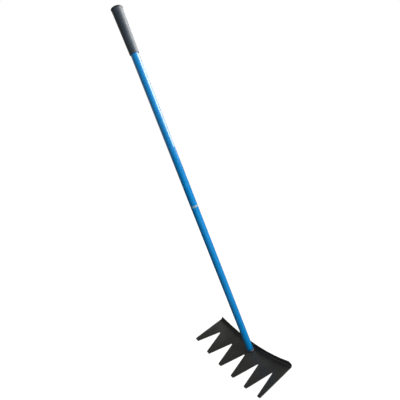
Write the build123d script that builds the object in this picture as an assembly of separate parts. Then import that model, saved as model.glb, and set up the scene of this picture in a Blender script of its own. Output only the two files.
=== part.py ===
from build123d import *
import math
import os

# Long-handled garden rake. A painted steel tube is welded square to a stamped head with a row of
# tapered teeth, and its top end carries a soft sleeve closed by a moulded end cap.
#
# Frame, in millimetres: +Z runs up the handle from the head to the grip, X runs across the head,
# and the teeth point towards -Y. The origin is on the handle's axis, where the tube seats on the
# front face of the head.

# Handle tube
tube_diameter = 25.0
tube_wall = 1.2
tube_length = 1210.0

# Rake head, one sheet of even thickness
sheet = 2.5
head_width = 411.0  # along the rolled sheet, from end to end
roll_radius = 595.0  # of the front face, across the width
tooth_count = 6
notch_depth = 90.5
inner_tip_width = 14.4
outer_tip_width = 16.0
tip_corner_radius = 2.6
notch_root_width = 5.6
notch_root_radius = 2.4
notch_margin = 13.0  # sheet left between the weld and the middle notch

# Flange turned forwards along the top edge of the head
flange_gap = 6.7  # clear space between the tube and the flange
flange_height = 14.0  # from the front face to the free edge
bend_radius = 5.5  # inside the bend
flange_corner_clip = 7.0  # each end is clipped at 45 degrees, clear of the bend

# Weld round the foot of the tube
weld_leg = 4.5
weld_fullness = 0.6  # 0.5 is a flat fillet, more is a full one

# Hand grip, a tapered sleeve that is thicker at the free end
grip_length = 128.0
grip_neck_wall = 2.1
grip_end_wall = 4.4
grip_edge_chamfer = 0.9

# End cap, a finned plug with a lip over the end of the grip
cap_thickness = 3.2
cap_lip = 0.9  # how far the cap stands out past the grip
cap_edge_chamfer = 1.2
plug_length = 22.0
plug_wall = 1.6
fin_height = 1.1
fin_count = 3
fin_width = 1.4
fin_clearance = 0.05  # between the fins and the tube's bore

# Places that follow from the sizes above
tube_radius = tube_diameter / 2
bore_radius = tube_radius - tube_wall
root_reach = tube_radius + weld_leg + notch_margin
tip_reach = root_reach + notch_depth
fold_place = tube_radius + flange_gap
flange_straight = flange_height - bend_radius
neutral_radius = roll_radius + sheet / 2
half_sweep = math.degrees(head_width / 2 / neutral_radius)
notch_count = tooth_count - 1
notch_mouth = (head_width - 2 * outer_tip_width - (tooth_count - 2) * inner_tip_width) / notch_count
notch_pitch = notch_mouth + inner_tip_width
grip_neck_radius = tube_radius + grip_neck_wall
grip_end_radius = tube_radius + grip_end_wall
roll_axis = Axis((0, 0, roll_radius), (0, 1, 0))


def sheet_section():
    """The head cut by the plane X = 0: a flat strip with the flange bent up at its top edge."""
    outside = Pos(-tip_reach, -sheet) * Rectangle(
        tip_reach + fold_place + sheet, sheet + flange_height, align=Align.MIN
    )
    outer_corner = outside.vertices().sort_by(Axis.Y)[:2].sort_by(Axis.X)[-1]
    outside = fillet(outer_corner, bend_radius + sheet)
    inside = Pos(fold_place, 0) * Rectangle(
        2 * (tip_reach + fold_place), 2 * flange_height, align=(Align.MAX, Align.MIN)
    )
    inner_corner = inside.vertices().sort_by(Axis.Y)[:2].sort_by(Axis.X)[-1]
    inside = fillet(inner_corner, bend_radius)
    return Plane.YZ * (outside - inside)


def notch_cutter():
    """A tapered slot with a rounded root, open at the tooth tips and deeper than the sheet's bow."""
    flare = (notch_mouth - notch_root_width) / 2 / notch_depth
    overrun = notch_depth / 4
    open_half_width = notch_mouth / 2 + flare * overrun
    slot = make_face(
        Polyline(
            (-notch_root_width / 2, -root_reach),
            (notch_root_width / 2, -root_reach),
            (open_half_width, -tip_reach - overrun),
            (-open_half_width, -tip_reach - overrun),
            close=True,
        )
    )
    slot = fillet(slot.vertices().sort_by(Axis.Y)[-2:], notch_root_radius)
    bow = notch_mouth**2 / (8 * roll_radius)
    return extrude(slot, amount=2 * (sheet + bow), both=True)


def rake_head():
    """The section swept round the roll axis, with the notches cut square to the sheet."""
    blank = revolve(sheet_section().rotate(roll_axis, -half_sweep), roll_axis, 2 * half_sweep)
    cutter = notch_cutter()
    for index in range(notch_count):
        arc = (index - (notch_count - 1) / 2) * notch_pitch
        blank -= cutter.rotate(roll_axis, math.degrees(arc / neutral_radius))
    corner_edges = blank.edges().filter_by(lambda edge: abs(edge.length - sheet) < 0.01)
    tip_edges = corner_edges.filter_by(lambda edge: edge.center().Y < -tip_reach + 0.01)
    blank = fillet(tip_edges, tip_corner_radius)
    corner_edges = blank.edges().filter_by(lambda edge: abs(edge.length - sheet) < 0.01)
    flange_edges = corner_edges.filter_by(lambda edge: edge.center().Y > fold_place)
    return chamfer(flange_edges, min(flange_corner_clip, flange_straight - sheet / 2))


def handle_tube(head):
    """A plain tube, coped at its foot to the rolled face of the head."""
    overlap = sheet / 2
    ring = Circle(tube_radius) - Circle(bore_radius)
    return Pos(0, 0, -overlap) * extrude(ring, amount=tube_length + overlap) - head


def head_weld(head):
    """A full fillet of weld metal between the tube and the head, with its crown in two flats."""
    overlap = sheet / 2
    toe = tube_radius + weld_leg
    crown = weld_leg * weld_fullness
    bead = make_face(
        Polyline(
            (tube_radius, 0, -overlap),
            (toe, 0, -overlap),
            (toe, 0, 0),
            (tube_radius + crown, 0, crown),
            (tube_radius, 0, weld_leg),
            close=True,
        )
    )
    return revolve(bead, Axis.Z) - head


def hand_grip():
    """A soft sleeve that fits the tube and widens in a straight taper to its free end."""
    base = tube_length - grip_length
    wall = make_face(
        Polyline(
            (tube_radius, 0, base),
            (grip_neck_radius, 0, base),
            (grip_end_radius, 0, tube_length),
            (tube_radius, 0, tube_length),
            close=True,
        )
    )
    sleeve = revolve(wall, Axis.Z)
    neck_edge = sleeve.edges().group_by(Axis.Z)[0].sort_by(SortBy.RADIUS)[-1]
    return chamfer(neck_edge, grip_edge_chamfer)


def grip_end_cap():
    """A lipped disc over the tube and the grip, with a hollow plug whose fins hold in the bore."""
    fin_radius = bore_radius - fin_clearance
    plug_radius = fin_radius - fin_height
    disc = extrude(Circle(grip_end_radius + cap_lip), amount=cap_thickness)
    top_rim = disc.edges().sort_by(Axis.Z)[-1]
    disc = chamfer(top_rim, cap_edge_chamfer)
    cap = disc + extrude(Circle(plug_radius) - Circle(plug_radius - plug_wall), amount=-plug_length)
    plug_bore = Cylinder(plug_radius - plug_wall, 3 * fin_width)  # stands out past both faces of a fin
    fin_step = plug_length / (fin_count + 1)
    for index in range(fin_count):
        tip = -(index + 1) * fin_step
        fin = Cone(
            plug_radius,
            fin_radius,
            fin_width,
            align=(Align.CENTER, Align.CENTER, Align.MIN),
        )
        cap += Pos(0, 0, tip) * (fin - plug_bore)
    return Pos(0, 0, tube_length) * cap


head = rake_head()
nodes = {
    "rake_head": head,
    "head_weld": head_weld(head),
    "handle_tube": handle_tube(head),
    "hand_grip": hand_grip(),
    "grip_end_cap": grip_end_cap(),
}

os.makedirs("parts", exist_ok=True)
for name, shape in nodes.items():
    export_step(shape, f"parts/{name}.step")
    print(name, len(shape.solids()), "solid", round(shape.volume), "mm3")
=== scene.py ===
# %% [markdown]
# # A long-handled garden rake, piece by piece
#
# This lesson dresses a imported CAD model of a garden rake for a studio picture. The rake is a painted
# steel tube, welded square to a black toothed head, with a soft grip and a moulded cap on its top end.
# The CAD model says where everything is and how large it is. The lesson builds a finer surface for each
# piece in the same place, and gives every surface a procedural finish.
#
# The rake stands in its own frame: +Z runs up the handle, X runs across the head, and the teeth point
# towards -Y. Everything is in metres.

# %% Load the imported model
import math

import bmesh
import bpy
import numpy as np
from mathutils import Matrix, Vector


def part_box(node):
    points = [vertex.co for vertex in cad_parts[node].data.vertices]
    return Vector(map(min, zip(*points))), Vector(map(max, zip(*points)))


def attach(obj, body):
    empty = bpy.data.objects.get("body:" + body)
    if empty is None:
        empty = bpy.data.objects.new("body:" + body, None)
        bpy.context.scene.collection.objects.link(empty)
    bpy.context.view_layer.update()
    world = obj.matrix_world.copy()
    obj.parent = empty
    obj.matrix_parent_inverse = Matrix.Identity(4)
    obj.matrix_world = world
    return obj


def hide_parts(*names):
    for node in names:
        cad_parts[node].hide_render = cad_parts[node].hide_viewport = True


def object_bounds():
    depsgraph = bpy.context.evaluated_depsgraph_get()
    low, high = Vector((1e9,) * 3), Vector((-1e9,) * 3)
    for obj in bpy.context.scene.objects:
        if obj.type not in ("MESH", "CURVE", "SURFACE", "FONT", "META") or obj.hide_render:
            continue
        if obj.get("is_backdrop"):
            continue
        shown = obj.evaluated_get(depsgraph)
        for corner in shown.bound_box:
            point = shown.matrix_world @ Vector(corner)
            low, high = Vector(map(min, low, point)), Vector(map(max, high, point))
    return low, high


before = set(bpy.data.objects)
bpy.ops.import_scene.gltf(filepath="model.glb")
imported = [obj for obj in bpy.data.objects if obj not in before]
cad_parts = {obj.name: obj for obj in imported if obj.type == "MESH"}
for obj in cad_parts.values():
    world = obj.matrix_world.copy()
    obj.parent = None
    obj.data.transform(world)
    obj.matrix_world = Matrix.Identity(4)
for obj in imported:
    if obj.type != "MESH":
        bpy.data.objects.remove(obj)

cad_low, cad_high = (list(corner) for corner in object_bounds())
print("CAD box from", [round(v, 4) for v in cad_low], "to", [round(v, 4) for v in cad_high])

# %% [markdown]
# ## Sizes
#
# Every place comes from the frame: the boxes of the CAD nodes give the tube's radius, the height of the
# grip, the reach of the teeth and so on. A few sizes that a box can't tell, such as the width of a tooth
# tip or the radius of a bend, are named here once, in millimetres as a maker would write them down.

# %% Sizes from the frame, and the few that it can't tell
MM = 0.001

tube_low, tube_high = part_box("handle_tube")
head_low, head_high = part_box("rake_head")
_, weld_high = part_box("head_weld")
grip_low, grip_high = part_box("hand_grip")
cap_low, cap_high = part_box("grip_end_cap")

tube_radius = tube_high.x
tube_wall = 1.2 * MM
tube_top = tube_high.z
grip_foot = grip_low.z
grip_end_radius = grip_high.x
grip_neck_wall = 2.1 * MM
cap_radius = cap_high.x
cap_top = cap_high.z

sheet = -head_low.z
tip_reach = -head_low.y
fold_place = head_high.y - sheet
head_width = 411 * MM
roll_radius = 595 * MM
tooth_count = 6
notch_depth = 90.5 * MM
inner_tip_width = 14.4 * MM
outer_tip_width = 16 * MM
tip_corner_radius = 2.6 * MM
notch_root_width = 5.6 * MM
notch_root_radius = 2.4 * MM
flange_height = 14 * MM
flange_corner_clip = 7 * MM
bend_radius = 5.5 * MM
weld_leg = weld_high.z

print("tube", round(2 * tube_radius / MM, 1), "mm, sheet", round(sheet / MM, 2), "mm")
print("teeth reach", round(tip_reach / MM, 1), "mm from the handle's axis")

# %% [markdown]
# ## The camera
#
# The rake is seen from the side of its teeth, close up through a wide lens, with the camera a little
# above the middle of the handle and rolled, so that the handle slants across the frame. A camera is
# easiest to reason about as a place, a point to look at and a roll about that line of sight, so this
# cell builds its matrix from exactly those three facts.

# %% Camera
camera_place = Vector((0.8485, -0.3873, 0.7823))
camera_target = Vector((0.0112, 0.0229, 0.5967))
camera_roll = math.radians(-21.12)
camera_lens = 25.83  # millimetres, in front of a sensor 36 mm wide

camera_data = bpy.data.cameras.new("camera")
camera_data.lens = camera_lens
camera_data.sensor_width = 36
camera = bpy.data.objects.new("camera", camera_data)
bpy.context.scene.collection.objects.link(camera)
aim = (camera_target - camera_place).to_track_quat("-Z", "Y")
camera.matrix_world = (
    Matrix.Translation(camera_place) @ aim.to_matrix().to_4x4() @ Matrix.Rotation(camera_roll, 4, "Z")
)
bpy.context.scene.camera = camera
print("camera", round((camera_target - camera_place).length, 3), "m from its target")

# %% [markdown]
# ## From a grid of points to a mesh
#
# Each piece below is a surface worked out as arrays: a function of two parameters, sampled on a grid of
# rows and columns. One helper turns such a grid into a mesh. It numbers the points, joins each one to
# its neighbours as a four-sided face, and closes the grid on itself where the surface is closed. Points
# that fall on each other, as at the middle of a turned disc, are merged afterwards.

# %% Grid surfaces
def grid_mesh(name, points, close_rows=False, close_columns=False):
    """A mesh over points[row, column]. Face (r, c) joins points (r, c), (r, c+1), (r+1, c+1), (r+1, c)."""
    rows, columns = points.shape[:2]
    index = np.arange(rows * columns).reshape(rows, columns)
    if close_rows:
        index = np.vstack([index, index[:1]])
    if close_columns:
        index = np.hstack([index, index[:, :1]])
    corners = [index[:-1, :-1], index[:-1, 1:], index[1:, 1:], index[1:, :-1]]
    faces = np.stack(corners, axis=-1).reshape(-1, 4)
    mesh = bpy.data.meshes.new(name)
    mesh.from_pydata(points.reshape(-1, 3).tolist(), [], faces.tolist())
    piece = bpy.data.objects.new(name, mesh)
    bpy.context.scene.collection.objects.link(piece)
    return piece


def finish_mesh(piece, merge=1e-7):
    """Merges points that fall together, turns every face outwards and shades the surface smooth."""
    work = bmesh.new()
    work.from_mesh(piece.data)
    bmesh.ops.remove_doubles(work, verts=work.verts, dist=merge)
    bmesh.ops.recalc_face_normals(work, faces=work.faces)
    work.to_mesh(piece.data)
    work.free()
    piece.data.polygons.foreach_set("use_smooth", np.ones(len(piece.data.polygons), bool))
    piece.data.update()
    print(piece.name, len(piece.data.vertices), "points,", len(piece.data.polygons), "faces")
    return piece


def store_edge_distance(piece, distance):
    """Each point carries its distance from the nearest edge, for the finishes to read."""
    stored = piece.data.attributes.new("edge_distance", "FLOAT", "POINT")
    stored.data.foreach_set("value", distance.ravel().astype(np.float32))


def even_normals(piece):
    """Large flat faces keep their own normal beside a small rounded edge."""
    weighted = piece.modifiers.new("even normals", "WEIGHTED_NORMAL")
    weighted.keep_sharp = True


def replace_node(piece, node):
    """The piece rides on the one body, and the CAD node that it stands in for is hidden."""
    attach(piece, "root")
    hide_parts(node)


# %% [markdown]
# Most edges on the rake are rounded, even if only by half a millimetre, and that small round is what
# catches the light. So an outline is written as its sharp corners, each with a radius, and this function
# works out the arcs for all corners at once. The centre of each arc lies on the bisector of its corner,
# at the radius divided by the sine of half the corner's angle.

# %% Outlines with rounded corners, and surfaces turned from them
def rounded(corners, radii, steps=7, closed=True):
    """Corner points (n, 2), each replaced by an arc of its own radius, as one array of points in order."""
    corners = np.array(corners, float)
    radii = np.array(radii, float)[:, None]
    back = np.roll(corners, 1, axis=0) - corners
    ahead = np.roll(corners, -1, axis=0) - corners
    back /= np.linalg.norm(back, axis=1, keepdims=True)
    ahead /= np.linalg.norm(ahead, axis=1, keepdims=True)
    half = np.arccos(np.clip((back * ahead).sum(1, keepdims=True), -1, 1)) / 2
    bisector = back + ahead
    never_zero = 1e-12
    bisector /= np.maximum(np.linalg.norm(bisector, axis=1, keepdims=True), never_zero)
    centre = corners + bisector * radii / np.sin(half)
    first = corners + back * radii / np.tan(half) - centre
    last = corners + ahead * radii / np.tan(half) - centre
    start = np.arctan2(first[:, 1], first[:, 0])
    turn = np.arctan2(last[:, 1], last[:, 0]) - start
    turn = (turn + np.pi) % (2 * np.pi) - np.pi
    angle = start[:, None] + turn[:, None] * np.linspace(0, 1, steps)
    arcs = centre[:, None] + radii[:, None] * np.stack([np.cos(angle), np.sin(angle)], axis=-1)
    if not closed:
        return np.vstack([corners[:1], arcs[1:-1].reshape(-1, 2), corners[-1:]])
    return arcs.reshape(-1, 2)


def stepped(profile, longest):
    """Divides each long stretch of a closed profile evenly, so that no step is longer than a length."""
    ahead = np.roll(profile, -1, axis=0) - profile
    parts = np.maximum(np.ceil(np.linalg.norm(ahead, axis=1) / longest), 1).astype(int)
    owner = np.repeat(np.arange(len(profile)), parts)
    share = (np.arange(len(owner)) - np.repeat(np.cumsum(parts) - parts, parts)) / parts[owner]
    return profile[owner] + ahead[owner] * share[:, None]


def turned(name, profile, rims=(), segments=144, closed=True):
    """A profile of (radius, height) turned about Z: (r cos a, r sin a, h), with distances to its rims."""
    angle = np.linspace(0, 2 * np.pi, segments, endpoint=False)
    radius, height = profile[:, 0, None], profile[:, 1, None]
    points = np.stack([radius * np.cos(angle), radius * np.sin(angle), height + 0 * angle], axis=-1)
    piece = grid_mesh(name, points, close_rows=closed, close_columns=True)
    if len(rims):
        gaps = np.linalg.norm(profile[:, None] - np.array(rims)[None], axis=-1).min(axis=1)
        store_edge_distance(piece, gaps[:, None] + 0 * angle)
    return finish_mesh(piece)


# %% [markdown]
# ## The handle
#
# A piece of drawn steel tube, 25 mm across with a wall of little more than a millimetre. One closed
# outline of the wall, turned about the axis, gives the outer face, the bore and both ends in one skin
# without any seam. A cylinder primitive would have to be hollowed and bevelled afterwards.

# %% Handle tube
foot_round, top_round = 0.1 * MM, 0.3 * MM
tube_face_length = 12 * MM
tube_outline = rounded(
    [
        (tube_radius - tube_wall, tube_low.z),
        (tube_radius, tube_low.z),
        (tube_radius, tube_top),
        (tube_radius - tube_wall, tube_top),
    ],
    [foot_round, foot_round, top_round, top_round],
)
handle = turned("painted_handle", stepped(tube_outline, tube_face_length))
even_normals(handle)
replace_node(handle, "handle_tube")

# %% [markdown]
# ## The head
#
# The head starts as a flat blank with its notches punched out. Its top edge is turned forwards as a
# stiffening flange, and the whole is rolled to a shallow curve across its width. The surface is made in
# the same order. First comes the toothed outline, drawn flat: the distance along the sheet against the
# place down the teeth. Then each column of points runs from that outline up the sheet, round the bend
# and up the flange, and last the whole grid is rolled about an axis in front of it.

# %% Toothed outline, drawn flat
notch_count = tooth_count - 1
notch_root = notch_depth - tip_reach
notch_mouth = (head_width - 2 * outer_tip_width - (tooth_count - 2) * inner_tip_width) / notch_count
tip_widths = np.full(tooth_count, inner_tip_width)
tip_widths[[0, -1]] = outer_tip_width
tip_left = -head_width / 2 + np.concatenate([[0], np.cumsum(tip_widths[:-1] + notch_mouth)])
tip_right = tip_left + tip_widths
root_middle = (tip_right[:-1] + tip_left[1:]) / 2

tooth_corners = np.stack([tip_left, tip_right], axis=1)
root_corners = np.stack([root_middle - notch_root_width / 2, root_middle + notch_root_width / 2], axis=1)
across = np.concatenate([np.hstack([tooth_corners[:-1], root_corners]).ravel(), tooth_corners[-1]])
below = np.concatenate([np.tile([-tip_reach] * 2 + [notch_root] * 2, notch_count), [-tip_reach] * 2])
radius_pattern = [tip_corner_radius] * 2 + [notch_root_radius] * 2
corner_radii = np.concatenate([np.tile(radius_pattern, notch_count), [tip_corner_radius] * 2])

outline_corners = np.vstack([[-head_width / 2, 0], np.stack([across, below], axis=1), [head_width / 2, 0]])
outline_radii = np.concatenate([[0], corner_radii, [0]])
outline = rounded(outline_corners, outline_radii, closed=False)[1:-1]
print("teeth", tooth_count, "notch mouth", round(notch_mouth / MM, 1), "mm, outline points", len(outline))

# %% [markdown]
# The outline never turns back on itself, so every column of the grid can run straight up the sheet
# from it. The columns stand at all the outline's own points, with more between them where the outline
# is straight, and one at each end where the clip of the flange's corner starts. Each column shares its
# flat length evenly among its rows, so the rows follow the teeth at the bottom and lie level at the bend.

# %% Head surface
column_step = 2.4 * MM
narrowest_face = 0.25 * MM
even_columns = np.arange(-head_width / 2, head_width / 2, column_step)
clip_start = head_width / 2 - flange_corner_clip
columns = np.concatenate([outline[:, 0], even_columns, [-clip_start, clip_start]])
columns = np.unique(np.round(np.clip(columns, -head_width / 2, head_width / 2), 6))
clear = np.concatenate([[True], np.diff(columns) > narrowest_face])
columns = columns[clear]
columns[-1] = head_width / 2
lower_edge = np.interp(columns, outline[:, 0], outline[:, 1])
lower_edge[[0, -1]] = -tip_reach + tip_corner_radius
upper_edge = flange_height - np.maximum(np.abs(columns) - clip_start, 0)


def sheet_path(lower, upper, flat_rows=26, bend_rows=9, flange_rows=6):
    """The middle of the sheet in each column: (place along Y, height) up flat, bend and flange."""
    middle = bend_radius + sheet / 2
    bend_start = fold_place - bend_radius
    share = np.linspace(0, 1, flat_rows, endpoint=False)[:, None]
    place = lower + (bend_start - lower) * share
    flat = np.stack([place, np.full_like(place, -sheet / 2)], axis=-1)
    turn = np.linspace(0, np.pi / 2, bend_rows, endpoint=False)[:, None] + 0 * lower
    bend = np.stack([bend_start + middle * np.sin(turn), bend_radius - middle * np.cos(turn)], axis=-1)
    share = np.linspace(0, 1, flange_rows)[:, None]
    rise = bend_radius + (upper - bend_radius) * share
    flange = np.stack([np.full_like(rise, fold_place + sheet / 2), rise], axis=-1)
    return np.concatenate([flat, bend, flange])


def rolled(across, path):
    """Rolls the sheet: an arc length s and a height h become the angle s / R and the radius R - h."""
    angle = across / (roll_radius + sheet / 2)
    radius = roll_radius - path[..., 1]
    return np.stack([radius * np.sin(angle), path[..., 0], roll_radius - radius * np.cos(angle)], axis=-1)


path = sheet_path(lower_edge, upper_edge)
head = grid_mesh("toothed_head", rolled(columns[None], path))
print("head grid", path.shape[0], "rows by", path.shape[1], "columns")

# %% [markdown]
# The grid is the middle of the sheet. Solidify gives it the sheet's thickness, half to each side, and
# Bevel rounds the cut edges as tumbling and powder coat round them. Each point also carries its
# distance from the cut edge, which the paint uses later to thin and rub the coat along the edges and to
# paint shade along the flange's free edge.

# %% Head thickness and edges
steepest_slope = 20
far_from_edge = 1.0
slope = np.minimum(np.abs(np.gradient(lower_edge, columns)), steepest_slope)
edge_gap = (path[..., 0] - lower_edge) / np.sqrt(1 + slope**2)
side_gap = (head_width / 2 - np.abs(columns)) + 0 * edge_gap
top_gap = np.where(path[..., 1] > 0, upper_edge - path[..., 1], far_from_edge)
edge_distance = np.minimum(np.minimum(np.abs(edge_gap), side_gap), top_gap)
store_edge_distance(head, edge_distance)
finish_mesh(head)

thickness = head.modifiers.new("sheet", "SOLIDIFY")
thickness.thickness = sheet
thickness.offset = 0
thickness.use_even_offset = True
edge_round = head.modifiers.new("rounded edges", "BEVEL")
edge_round.width = 0.5 * MM
edge_round.segments = 3
edge_round.limit_method = "ANGLE"
edge_round.angle_limit = math.radians(40)
even_normals(head)
replace_node(head, "rake_head")

# %% [markdown]
# ## The weld
#
# A welder runs a bead round the foot of the tube in overlapping puddles, and each puddle freezes as a
# small crescent. The bead is a closed ring: one parameter goes round the tube, the other round the
# bead's own section, a rounded triangle with one leg on the tube and one on the sheet. The ripples
# are a wave along the ring that lags behind in the middle of the bead, which bends it into crescents.

# %% Weld bead
def weld_bead(around=360, section=20, ripples=34):
    """Radius R + leg (1 - t) + bulge and height leg t + bulge, with t from toe to tube."""
    inset = 0.15 * MM
    fullness, ripple_height = 0.35 * MM, 0.3 * MM
    root = 0.4 * MM
    crescent_lag, uneven_pace = 1.3, 0.8
    angle = np.linspace(0, 2 * np.pi, around, endpoint=False)[None, :]
    t = np.linspace(0, 1, section)[:, None]
    hump = 4 * t * (1 - t)
    phase = ripples * angle + crescent_lag * hump + uneven_pace * np.sin(3 * angle)
    ripple = 0.5 + 0.5 * np.sin(phase) - 0.2 * np.cos(2 * phase)
    # Two slow waves round the ring take up to 10% and 8% off the legs.
    wander = 1 - 0.05 * (1 + np.sin(5 * angle + 1.0)) - 0.04 * (1 + np.sin(11 * angle))
    leg = (weld_leg - inset) * wander
    bulge = hump * (fullness + ripple_height * ripple)
    out = leg * (1 - t) + bulge
    up = leg * t + bulge
    out = np.vstack([out, np.full((1, around), -root), np.full((1, around), -root), out[:1]])
    up = np.vstack([up, up[-1:], np.full((1, around), -root), np.full((1, around), -root)])
    radius = tube_radius + out
    x = radius * np.cos(angle)
    y = radius * np.sin(angle)
    seat = roll_radius - np.sqrt(roll_radius**2 - x**2)
    return np.stack([x, y, seat + up], axis=-1)


bead = finish_mesh(grid_mesh("weld_bead", weld_bead(), close_rows=True, close_columns=True))
replace_node(bead, "head_weld")

# %% [markdown]
# ## The grip and its cap
#
# The grip is a soft sleeve that widens towards the end of the handle, so that it stops a hand from
# sliding off. Both of its ends are cut square and rounded over a little. The cap closes it: a disc
# whose rim stands just proud of the sleeve, with a hollow plug and holding fins down in the tube,
# where nobody sees them but where they belong. Each is turned from one rounded outline.

# %% Hand grip
neck_radius = tube_radius + grip_neck_wall
foot_rounds = [0.3 * MM, 0.9 * MM]  # inside, outside
end_rounds = [0.5 * MM, 0.1 * MM]  # outside, inside
grip_face_length = 2 * MM
grip_outline = rounded(
    [
        (tube_radius, grip_foot),
        (neck_radius, grip_foot),
        (grip_end_radius, tube_top),
        (tube_radius, tube_top),
    ],
    foot_rounds + end_rounds,
)
grip_rims = [(neck_radius, grip_foot), (grip_end_radius, tube_top)]
grip = turned("soft_grip", stepped(grip_outline, grip_face_length), grip_rims)
even_normals(grip)
replace_node(grip, "hand_grip")

# %% End cap
plug_foot = cap_low.z
plug_wall = 1.6 * MM
fin_count = 3
fin_width, fin_height, fin_clearance = 1.4 * MM, 1.1 * MM, 0.05 * MM
fin_reach = tube_radius - tube_wall - fin_clearance
fin_step = (tube_top - plug_foot) / (fin_count + 1)
fin_places = tube_top - fin_step * np.arange(1, fin_count + 1)
plug_radius = fin_reach - fin_height
plug_bore = plug_radius - plug_wall


def fin_corners(place):
    """A fin is a thin cone on the plug, widest at its upper side."""
    return [(plug_radius, place), (fin_reach, place + fin_width), (plug_radius, place + fin_width)]


cap_corners = [(0, cap_top), (cap_radius, cap_top), (cap_radius, tube_top), (plug_radius, tube_top)]
top_rim_round, lower_rim_round, plug_round, fin_round = 1.2 * MM, 0.25 * MM, 0.3 * MM, 0.1 * MM
cap_radii = [0, top_rim_round, lower_rim_round, plug_round]
for place in fin_places:
    cap_corners += fin_corners(place)[::-1]
    cap_radii += [0, fin_round, 0]
cap_corners += [(plug_radius, plug_foot), (plug_bore, plug_foot), (plug_bore, tube_top), (0, tube_top)]
cap_radii += [plug_round, plug_round, plug_round, 0]
cap_outline = rounded(cap_corners, cap_radii, steps=5, closed=False)
cap_rims = [(cap_radius, cap_top), (cap_radius, tube_top)]
cap = turned("end_cap", cap_outline, cap_rims, closed=False)
even_normals(cap)
replace_node(cap, "grip_end_cap")

# %% [markdown]
# ## Finishes
#
# Powder coat, vinyl and moulded plastic all have a fine texture, all of them pick up marks from
# handling, and all of them wear first along their edges. So these three effects are node groups, built
# once and placed in each material with its own values. A group puts out only masks and heights. The
# shader itself stays in the material, where its fixed values, such as the gloss of a clear coat, sit on
# its own sockets.

# %% Node helpers
def link(tree, source, output, target, entry):
    """Joins a node's output, by name, to another node's input, by name or number."""
    tree.links.new(source.outputs[output], target.inputs[entry])


def noise(tree, detail, roughness):
    """A noise texture laid out in the piece's own space, so that it never slides over the surface."""
    place = tree.nodes.new("ShaderNodeTexCoord")
    node = tree.nodes.new("ShaderNodeTexNoise")
    node.inputs["Detail"].default_value = detail
    node.inputs["Roughness"].default_value = roughness
    link(tree, place, "Object", node, "Vector")
    return node


def step(tree, low, high, from_value=0.0, to_value=1.0):
    """A smooth step between two values of its input."""
    node = tree.nodes.new("ShaderNodeMapRange")
    node.interpolation_type = "SMOOTHSTEP"
    ends = {"From Min": low, "From Max": high, "To Min": from_value, "To Max": to_value}
    for label, value in ends.items():
        node.inputs[label].default_value = value
    return node


def maths(tree, operation, value=0.0):
    """A Math node whose second input has a fixed value until something is linked to it."""
    node = tree.nodes.new("ShaderNodeMath")
    node.operation = operation
    node.inputs[1].default_value = value
    return node


def new_group(name, inputs, outputs):
    """An empty shader group with float inputs and their defaults, and named float outputs."""
    group = bpy.data.node_groups.new(name, "ShaderNodeTree")
    for label, value in inputs.items():
        socket = group.interface.new_socket(label, in_out="INPUT", socket_type="NodeSocketFloat")
        socket.default_value = value
    for label in outputs:
        group.interface.new_socket(label, in_out="OUTPUT", socket_type="NodeSocketFloat")
    return group, group.nodes.new("NodeGroupInput"), group.nodes.new("NodeGroupOutput")


# %% [markdown]
# **Coat texture** is the orange peel of a sprayed and baked surface: broad, soft waves a few
# millimetres long with a finer grain on top. Its scales count waves per metre, roughly, because object
# coordinates are in metres.

# %% Coat texture
def coat_texture_group():
    """Height = waves, mixed with a share of finer grain."""
    inputs = {"Waves": 300, "Grain": 1800, "Grain share": 0.3}
    group, start, end = new_group("coat texture", inputs, ["Height"])
    waves = noise(group, 2.0, 0.45)
    grain = noise(group, 1.0, 0.5)
    mixed = group.nodes.new("ShaderNodeMix")
    link(group, start, "Waves", waves, "Scale")
    link(group, start, "Grain", grain, "Scale")
    link(group, start, "Grain share", mixed, "Factor")
    link(group, waves, "Fac", mixed, "A")
    link(group, grain, "Fac", mixed, "B")
    link(group, mixed, "Result", end, "Height")
    return group


coat_texture = coat_texture_group()
print("made the group", coat_texture.name)

# %% [markdown]
# **Handling marks** are uneven: large soft patches where hands and soil have dulled the surface, and
# small specks of dust. Both are noise pushed through a smooth step, which turns an even grey into
# islands with soft shores.

# %% Handling marks
def handling_group():
    """Patch and Speck: two noises, each through a smooth step that keeps only its higher parts."""
    group, start, end = new_group("handling marks", {"Patches": 14, "Specks": 260}, ["Patch", "Speck"])
    for label, scale, detail, roughness, low, high in (
        ("Patch", "Patches", 5.0, 0.62, 0.40, 0.66),
        ("Speck", "Specks", 3.0, 0.70, 0.60, 0.74),
    ):
        islands = noise(group, detail, roughness)
        shore = step(group, low, high)
        link(group, start, scale, islands, "Scale")
        link(group, islands, "Fac", shore, "Value")
        link(group, shore, "Result", end, label)
    return group


handling_marks = handling_group()
print("made the group", handling_marks.name)

# %% [markdown]
# ** Edge wear** takes a distance from an edge and turns it into a mask, 1 at the edge and 0 past a
# width. Noise shifts the distance first, so the line widens and narrows as a real one does. The same
# mask serves for a worn edge, for dirt along a joint, and for painted shade along an edge or a lip.

# %% Edge wear
def edge_wear_and_shade_group():
    """Wear = 1 - step(distance / width + (noise - its middle) * raggedness)."""
    noise_middle, raggedness = 0.5, 2.4
    group, start, end = new_group("edge wear", {"Distance": 1, "Width": 0.001, "Break up": 120}, ["Wear"])
    ratio = maths(group, "DIVIDE")
    ragged = noise(group, 4.0, 0.6)
    centred = maths(group, "SUBTRACT", noise_middle)
    pushed = maths(group, "MULTIPLY", raggedness)
    shifted = maths(group, "ADD")
    faded = step(group, 0.0, 1.0, from_value=1.0, to_value=0.0)
    link(group, start, "Distance", ratio, 0)
    link(group, start, "Width", ratio, 1)
    link(group, start, "Break up", ragged, "Scale")
    link(group, ragged, "Fac", centred, 0)
    link(group, centred, "Value", pushed, 0)
    link(group, ratio, "Value", shifted, 0)
    link(group, pushed, "Value", shifted, 1)
    link(group, shifted, "Value", faded, "Value")
    link(group, faded, "Result", end, "Wear")
    return group


edge_wear_and_shade = edge_wear_and_shade_group()
print("made the group", edge_wear_and_shade.name)

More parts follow.
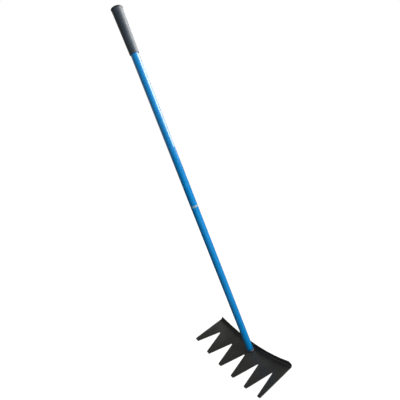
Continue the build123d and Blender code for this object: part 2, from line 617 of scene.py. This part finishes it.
# %% [markdown]
# A material is then a short list of facts: its shader with the fixed values, a base colour that shifts
# a little over the surface, a roughness that rises where the surface has been handled, and a bump. These
# helpers each add one such fact. A mask may be scaled down on its way, so that an effect stays faint.

# %% Material helpers
def new_material(name, **fixed):
    """A material with one Principled shader, whose fixed values are set on its own sockets."""
    material = bpy.data.materials.new(name)
    material.use_nodes = True
    tree = material.node_tree
    shader = tree.nodes["Principled BSDF"]
    for label, value in fixed.items():
        shader.inputs[label.replace("_", " ")].default_value = value
    return material, tree, shader


def place_group(tree, group, **values):
    """A shared effect placed in a material, with its own values for the group's inputs."""
    node = tree.nodes.new("ShaderNodeGroup")
    node.node_tree = group
    for label, value in values.items():
        node.inputs[label.replace("_", " ")].default_value = value
    return node


def faint(tree, mask, share):
    """A mask scaled down to a share of its strength."""
    node = maths(tree, "MULTIPLY", share)
    tree.links.new(mask, node.inputs[0])
    return node.outputs["Value"]


def blend_colour(tree, mask, under, over):
    """Colour from under to over as the mask goes from 0 to 1. Each is a socket or a fixed colour."""
    node = tree.nodes.new("ShaderNodeMix")
    node.data_type = "RGBA"
    tree.links.new(mask, node.inputs["Factor"])
    entries = [socket for socket in node.inputs if socket.type == "RGBA"]
    for entry, colour in zip(entries, (under, over)):
        if isinstance(colour, tuple):
            entry.default_value = (*colour, 1)
        else:
            tree.links.new(colour, entry)
    return next(socket for socket in node.outputs if socket.type == "RGBA")


def blend_value(tree, mask, under, over):
    """A value from under to over as the mask goes from 0 to 1. Each is a socket or a number."""
    node = tree.nodes.new("ShaderNodeMix")
    tree.links.new(mask, node.inputs["Factor"])
    for entry, value in (("A", under), ("B", over)):
        if isinstance(value, float):
            node.inputs[entry].default_value = value
        else:
            tree.links.new(value, node.inputs[entry])
    return node.outputs["Result"]


def raise_surface(tree, height, shader, depth):
    """Bump from a height between 0 and 1, where 1 stands for a depth in metres."""
    node = tree.nodes.new("ShaderNodeBump")
    node.inputs["Distance"].default_value = depth
    tree.links.new(height, node.inputs["Height"])
    tree.links.new(node.outputs["Normal"], shader.inputs["Normal"])


def stored_distance(tree):
    """The distance from the nearest edge that the piece's points carry."""
    node = tree.nodes.new("ShaderNodeAttribute")
    node.attribute_name = "edge_distance"
    return node.outputs["Fac"]


def finish_material(material, tree, shader, colour, roughness):
    """Links the two sockets that every finish drives, and hands the material back."""
    tree.links.new(colour, shader.inputs["Base Color"])
    tree.links.new(roughness, shader.inputs["Roughness"])
    return material


def dress(piece, material):
    """Gives a piece its one material."""
    piece.data.materials.clear()
    piece.data.materials.append(material)
    print(piece.name, "wears", material.name)


# %% [markdown]
# ## Blue paint
#
# The tube wears a gloss powder coat under a clear layer. Its blue is a shade deeper in some stretches
# than in others. Dirt and a breath of black overspray lie on its lowest few millimetres, above the
# weld, and a dark line of painted shade, with some dirt, runs just below the grip's lip. Halfway up sits
# a pale printed band. All three sit at a height, so the paint reads the height of each point, the Z of
# its object coordinates.

# %% Handle paint
band_low, band_high = 581 * MM, 587.5 * MM
band_soft = 0.4 * MM


def height_above(tree, place):
    """The distance along the handle, either way, from a height."""
    coordinates = tree.nodes.new("ShaderNodeTexCoord")
    split = tree.nodes.new("ShaderNodeSeparateXYZ")
    offset = maths(tree, "SUBTRACT", place)
    distance = maths(tree, "ABSOLUTE")
    link(tree, coordinates, "Object", split, "Vector")
    link(tree, split, "Z", offset, 0)
    link(tree, offset, "Value", distance, 0)
    return distance.outputs["Value"]


def wear_and_shade_along(tree, distance, width, break_up):
    """The edge wear group, fed with a distance, for wear and for painted shade."""
    wear = place_group(tree, edge_wear_and_shade, Width=width, Break_up=break_up)
    tree.links.new(distance, wear.inputs["Distance"])
    return wear.outputs["Wear"]


def handle_paint():
    """Deep blue gloss, dirt at the weld, painted shade with dirt below the grip's lip, and the printed
    band.
    """
    deep_blue, clear_blue = (0.0010, 0.176, 0.450), (0.0016, 0.198, 0.500)
    # The second colour on the next line is a painted shade, with some dirt, for the band below the grip's
    # lip.
    overspray, lip_shade_and_dirt = (0.004, 0.010, 0.022), (0.012, 0.030, 0.055)
    band_print = (0.22, 0.34, 0.42)
    material, tree, shader = new_material(
        "handle paint", Coat_Weight=1.0, Coat_Roughness=0.05, Specular_IOR_Level=0.2
    )
    marks = place_group(tree, handling_marks, Patches=9.0, Specks=420.0)
    patch, speck = marks.outputs["Patch"], marks.outputs["Speck"]
    blue = blend_colour(tree, patch, deep_blue, clear_blue)

    sprayed = wear_and_shade_along(tree, height_above(tree, weld_leg), width=5 * MM, break_up=160.0)
    # Painted shade with some dirt: the tube is darkened just below the grip's lip, where the grip shades
    # it.
    lip_shade_and_dirt_mask = wear_and_shade_along(tree, height_above(tree, grip_foot), width=2 * MM, break_up=90.0)
    blue = blend_colour(tree, faint(tree, sprayed, 0.75), blue, overspray)
    blue = blend_colour(tree, faint(tree, lip_shade_and_dirt_mask, 0.5), blue, lip_shade_and_dirt)

    middle = (band_low + band_high) / 2
    half = (band_high - band_low) / 2
    inside = step(tree, half + band_soft / 2, half - band_soft / 2)
    tree.links.new(height_above(tree, middle), inside.inputs["Value"])
    colour = blend_colour(tree, inside.outputs["Result"], blue, band_print)

    roughness = blend_value(tree, patch, 0.34, 0.42)
    roughness = blend_value(tree, sprayed, roughness, 0.45)
    roughness = blend_value(tree, faint(tree, speck, 0.4), roughness, 0.5)
    texture = place_group(tree, coat_texture, Waves=260.0, Grain=1600.0, Grain_share=0.15)
    raise_surface(tree, texture.outputs["Height"], shader, depth=0.004 * MM)
    return finish_material(material, tree, shader, colour, roughness)


dress(handle, handle_paint())

# %% [markdown]
# ## Black paint
#
# The head has a semi-gloss black coat over sheared and tumbled edges. Paint draws back from a cut edge
# as it melts, so the coat is thinnest there and the first soil rubs it grey. The mask for that comes
# from the distance that each point of the head carries. The tips of the teeth rub more than the rest, so
# a second, wider mask is added there, and it fades out over the last few millimetres of each tooth.
#
# The flange is the other way round. Its face turns away from the lamps, so it is painted a lighter grey
# as painted light, and its rounded free edge carries a dark painted shade.

# %% Head paint
tip_rub = 14 * MM


def down_the_head(tree, low, high, from_value=0.0, to_value=1.0):
    """A mask that steps from one value to another between two places along Y."""
    coordinates = tree.nodes.new("ShaderNodeTexCoord")
    split = tree.nodes.new("ShaderNodeSeparateXYZ")
    fade = step(tree, low, high, from_value, to_value)
    link(tree, coordinates, "Object", split, "Vector")
    link(tree, split, "Y", fade, "Value")
    return fade.outputs["Result"]


def both(tree, first, second):
    """The product of two masks."""
    node = maths(tree, "MULTIPLY")
    tree.links.new(first, node.inputs[0])
    tree.links.new(second, node.inputs[1])
    return node.outputs["Value"]


def head_paint():
    """Semi-gloss black, greyer at edges and tips, painted light on the flange, painted shade on its rim.
    """
    black, faded_black = (0.0220, 0.0217, 0.0188), (0.0275, 0.0270, 0.0238)
    rim_grey, tip_grey = (0.045, 0.044, 0.041), (0.060, 0.056, 0.050)
    # The flange colours on the next line are painted light for the flange face and painted shade for its
    # free edge.
    flange_painted_light, rim_painted_shade = (0.054, 0.052, 0.047), (0.004, 0.004, 0.0035)
    material, tree, shader = new_material(
        "head paint", Coat_Weight=0.05, Coat_Roughness=0.25, Specular_IOR_Level=0.25
    )
    marks = place_group(tree, handling_marks, Patches=16.0, Specks=300.0)
    patch, speck = marks.outputs["Patch"], marks.outputs["Speck"]
    distance = stored_distance(tree)
    rim = wear_and_shade_along(tree, distance, width=0.9 * MM, break_up=140.0)
    at_tips = down_the_head(tree, -tip_reach, -tip_reach + tip_rub, from_value=1.0, to_value=0.0)
    tip = both(tree, wear_and_shade_along(tree, distance, width=5 * MM, break_up=220.0), at_tips)
    # A mask of the flange, for the painted light on its face and the painted shade along its edge.
    flange = down_the_head(tree, fold_place - bend_radius / 2, fold_place)
    # Painted shade: a dark line is painted along the flange's free edge.
    shaded_upper_rim = both(tree, wear_and_shade_along(tree, distance, width=2.5 * MM, break_up=60.0), flange)

    colour = blend_colour(tree, patch, black, faded_black)
    colour = blend_colour(tree, faint(tree, rim, 0.45), colour, rim_grey)
    colour = blend_colour(tree, faint(tree, tip, 0.5), colour, tip_grey)
    # Painted light: the flange face turns away from the lamps, so it is painted a lighter grey.
    colour = blend_colour(tree, faint(tree, flange, 0.8), colour, flange_painted_light)
    # The painted shade darkens the flange's free edge to near black.
    colour = blend_colour(tree, faint(tree, shaded_upper_rim, 0.95), colour, rim_painted_shade)

    roughness = blend_value(tree, patch, 0.40, 0.48)
    roughness = blend_value(tree, faint(tree, speck, 0.5), roughness, 0.60)
    roughness = blend_value(tree, faint(tree, tip, 0.8), roughness, 0.55)
    texture = place_group(tree, coat_texture, Waves=380.0, Grain=2200.0, Grain_share=0.2)
    raise_surface(tree, texture.outputs["Height"], shader, depth=0.014 * MM)
    return finish_material(material, tree, shader, colour, roughness)


dress(head, head_paint())

# %% [markdown]
# The two coats meet on the weld: it is black like the head, with some of the tube's blue in it. Its coat
# is thick and glossy. The ripples themselves are in the mesh.

# %% Weld paint
def weld_paint():
    """Glossy navy black, with the coarse skin of weld metal."""
    navy_black, navy = (0.0040, 0.0065, 0.0120), (0.0060, 0.0120, 0.0260)
    material, tree, shader = new_material("weld paint", Coat_Weight=0.3, Coat_Roughness=0.12, IOR=1.45)
    marks = place_group(tree, handling_marks, Patches=60.0, Specks=500.0)
    patch = marks.outputs["Patch"]
    colour = blend_colour(tree, patch, navy_black, navy)
    roughness = blend_value(tree, patch, 0.26, 0.42)
    texture = place_group(tree, coat_texture, Waves=900.0, Grain=3200.0, Grain_share=0.35)
    raise_surface(tree, texture.outputs["Height"], shader, depth=0.030 * MM)
    return finish_material(material, tree, shader, colour, roughness)


dress(bead, weld_paint())

# %% [markdown]
# ## Vinyl and plastic
#
# The grip is soft vinyl, a dark blue-grey with a satin skin. Hands leave it duller in patches, and dust
# settles in its grain. The cap is hard black plastic from a mould: finer in grain, glossier, and a
# little scuffed round its rim from standing on the floor.

# %% Grip vinyl
def grip_vinyl():
    """Satin blue-grey, duller in patches, with a fine pebbled grain and a worn rim."""
    dark_grey, blue_grey = (0.0260, 0.0380, 0.0500), (0.0350, 0.0480, 0.0620)
    dust, rim_rub = (0.080, 0.085, 0.090), (0.075, 0.080, 0.085)
    material, tree, shader = new_material("grip vinyl", IOR=1.5, Specular_IOR_Level=0.8)
    marks = place_group(tree, handling_marks, Patches=24.0, Specks=520.0)
    patch, speck = marks.outputs["Patch"], marks.outputs["Speck"]
    rim = wear_and_shade_along(tree, stored_distance(tree), width=1.6 * MM, break_up=180.0)
    colour = blend_colour(tree, patch, dark_grey, blue_grey)
    colour = blend_colour(tree, faint(tree, speck, 0.25), colour, dust)
    colour = blend_colour(tree, faint(tree, rim, 0.4), colour, rim_rub)
    roughness = blend_value(tree, patch, 0.58, 0.66)
    roughness = blend_value(tree, faint(tree, rim, 0.6), roughness, 0.62)
    texture = place_group(tree, coat_texture, Waves=700.0, Grain=2600.0, Grain_share=0.5)
    raise_surface(tree, texture.outputs["Height"], shader, depth=0.007 * MM)
    return finish_material(material, tree, shader, colour, roughness)


dress(grip, grip_vinyl())


# %% Cap plastic
def cap_plastic():
    """Black, with a finer grain than the grip's and a scuffed rim."""
    black, grey_black = (0.0060, 0.0060, 0.0068), (0.0100, 0.0100, 0.0110)
    scuff = (0.040, 0.040, 0.042)
    material, tree, shader = new_material("cap plastic", IOR=1.46)
    marks = place_group(tree, handling_marks, Patches=40.0, Specks=500.0)
    patch = marks.outputs["Patch"]
    rim = wear_and_shade_along(tree, stored_distance(tree), width=1.2 * MM, break_up=260.0)
    colour = blend_colour(tree, patch, black, grey_black)
    colour = blend_colour(tree, faint(tree, rim, 0.35), colour, scuff)
    roughness = blend_value(tree, patch, 0.32, 0.44)
    roughness = blend_value(tree, rim, roughness, 0.60)
    texture = place_group(tree, coat_texture, Waves=900.0, Grain=3000.0)
    raise_surface(tree, texture.outputs["Height"], shader, depth=0.008 * MM)
    return finish_material(material, tree, shader, colour, roughness)


dress(cap, cap_plastic())

# %% [markdown]
# ## The studio
#
# A pale floor under a pale sky. Both look plain white to the camera but send out much less light than
# that, because a shiny tube among white walls would turn white itself. Light Path tells a ray from the
# camera apart from the rays that light the rake.
#
# The light comes from softboxes. The place that gives a good highlight is seldom the one that gives
# good light, so two of the boxes show only in reflections, two only give light, and the back fill does
# both. The key pair stands to the right. The lower edge of its reflected box is well above the floor, so
# the highlight runs down the upper half of the handle only and the left edge stays dark. The front fill
# stands low and opens up the black head.

# %% Floor
floor_size = 60.0
floor_albedo = 0.12
floor_glow = 1.0
corner = floor_size / 2
floor_grid = np.array(
    [
        [[-corner, -corner, cad_low[2]], [corner, -corner, cad_low[2]]],
        [[-corner, corner, cad_low[2]], [corner, corner, cad_low[2]]],
    ]
)
floor = grid_mesh("studio_floor", floor_grid)
floor_paint, floor_tree, floor_shader = new_material("studio floor", Roughness=0.9, IOR=1.2)
floor_shader.inputs["Base Color"].default_value = (floor_albedo, floor_albedo, floor_albedo, 1)
floor_shader.inputs["Emission Color"].default_value = (1, 1, 1, 1)
seen_floor = floor_tree.nodes.new("ShaderNodeLightPath")
glow = maths(floor_tree, "MULTIPLY", floor_glow)
link(floor_tree, seen_floor, "Is Camera Ray", glow, 0)
link(floor_tree, glow, "Value", floor_shader, "Emission Strength")
dress(floor, floor_paint)
floor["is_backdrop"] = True

# %% Sky
sky_light, sky_backdrop = 0.17, 1.0

world = bpy.data.worlds.new("sky")
world.use_nodes = True
bpy.context.scene.world = world
sky_tree = world.node_tree
sky = sky_tree.nodes["Background"]
sky.inputs["Color"].default_value = (1, 1, 1, 1)
seen_sky = sky_tree.nodes.new("ShaderNodeLightPath")
sky_strength = blend_value(sky_tree, seen_sky.outputs["Is Camera Ray"], sky_light, sky_backdrop)
sky_tree.links.new(sky_strength, sky.inputs["Strength"])
bpy.context.scene.view_settings.view_transform = "Standard"
print("sky lights at", sky_light, "and looks as bright as", sky_backdrop)


# %% Softboxes
highest_aim = 0.9


def softbox(name, direction, distance, height, size, radiance, lights=True, reflected=True):
    """A rectangle of light facing the handle, from a direction in degrees round it and a distance.

    Its power is radiance times pi times its area. A box above the highest aim tilts down towards it.
    """
    data = bpy.data.lights.new(name, "AREA")
    data.shape = "RECTANGLE"
    data.size, data.size_y = size
    data.energy = radiance * math.pi * size[0] * size[1]
    lamp = bpy.data.objects.new(name, data)
    bpy.context.scene.collection.objects.link(lamp)
    bearing = math.radians(direction)
    place = Vector((distance * math.cos(bearing), distance * math.sin(bearing), height))
    aim = Vector((0, 0, min(height, highest_aim))) - place
    lamp.matrix_world = Matrix.Translation(place) @ aim.to_track_quat("-Z", "Y").to_matrix().to_4x4()
    lamp.visible_camera = False
    lamp.visible_diffuse = lights
    lamp.visible_glossy = reflected
    print(name, "at", round(direction), "degrees,", round(data.energy), "W")


softbox("key highlight", 73, 1.5, 1.5, (1.5, 1.5), 10.3, lights=False)
softbox("key light", 68, 1.5, 1.6, (2.6, 1.5), 3.3, reflected=False)
softbox("front fill", 12, 2.0, 0.62, (1.4, 1.4), 8.0, reflected=False)
softbox("edge highlight", 32, 1.6, 1.6, (0.8, 1.5), 1.4, lights=False)
softbox("back fill", 205, 2.2, 1.2, (1.6, 1.8), 0.9)

# %% Compare the boxes
look_low, look_high = (list(corner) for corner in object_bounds())
growth = np.array([np.array(cad_low) - look_low, np.array(look_high) - cad_high]) / MM
print("visual box past the CAD box, mm:", growth.round(2).tolist())
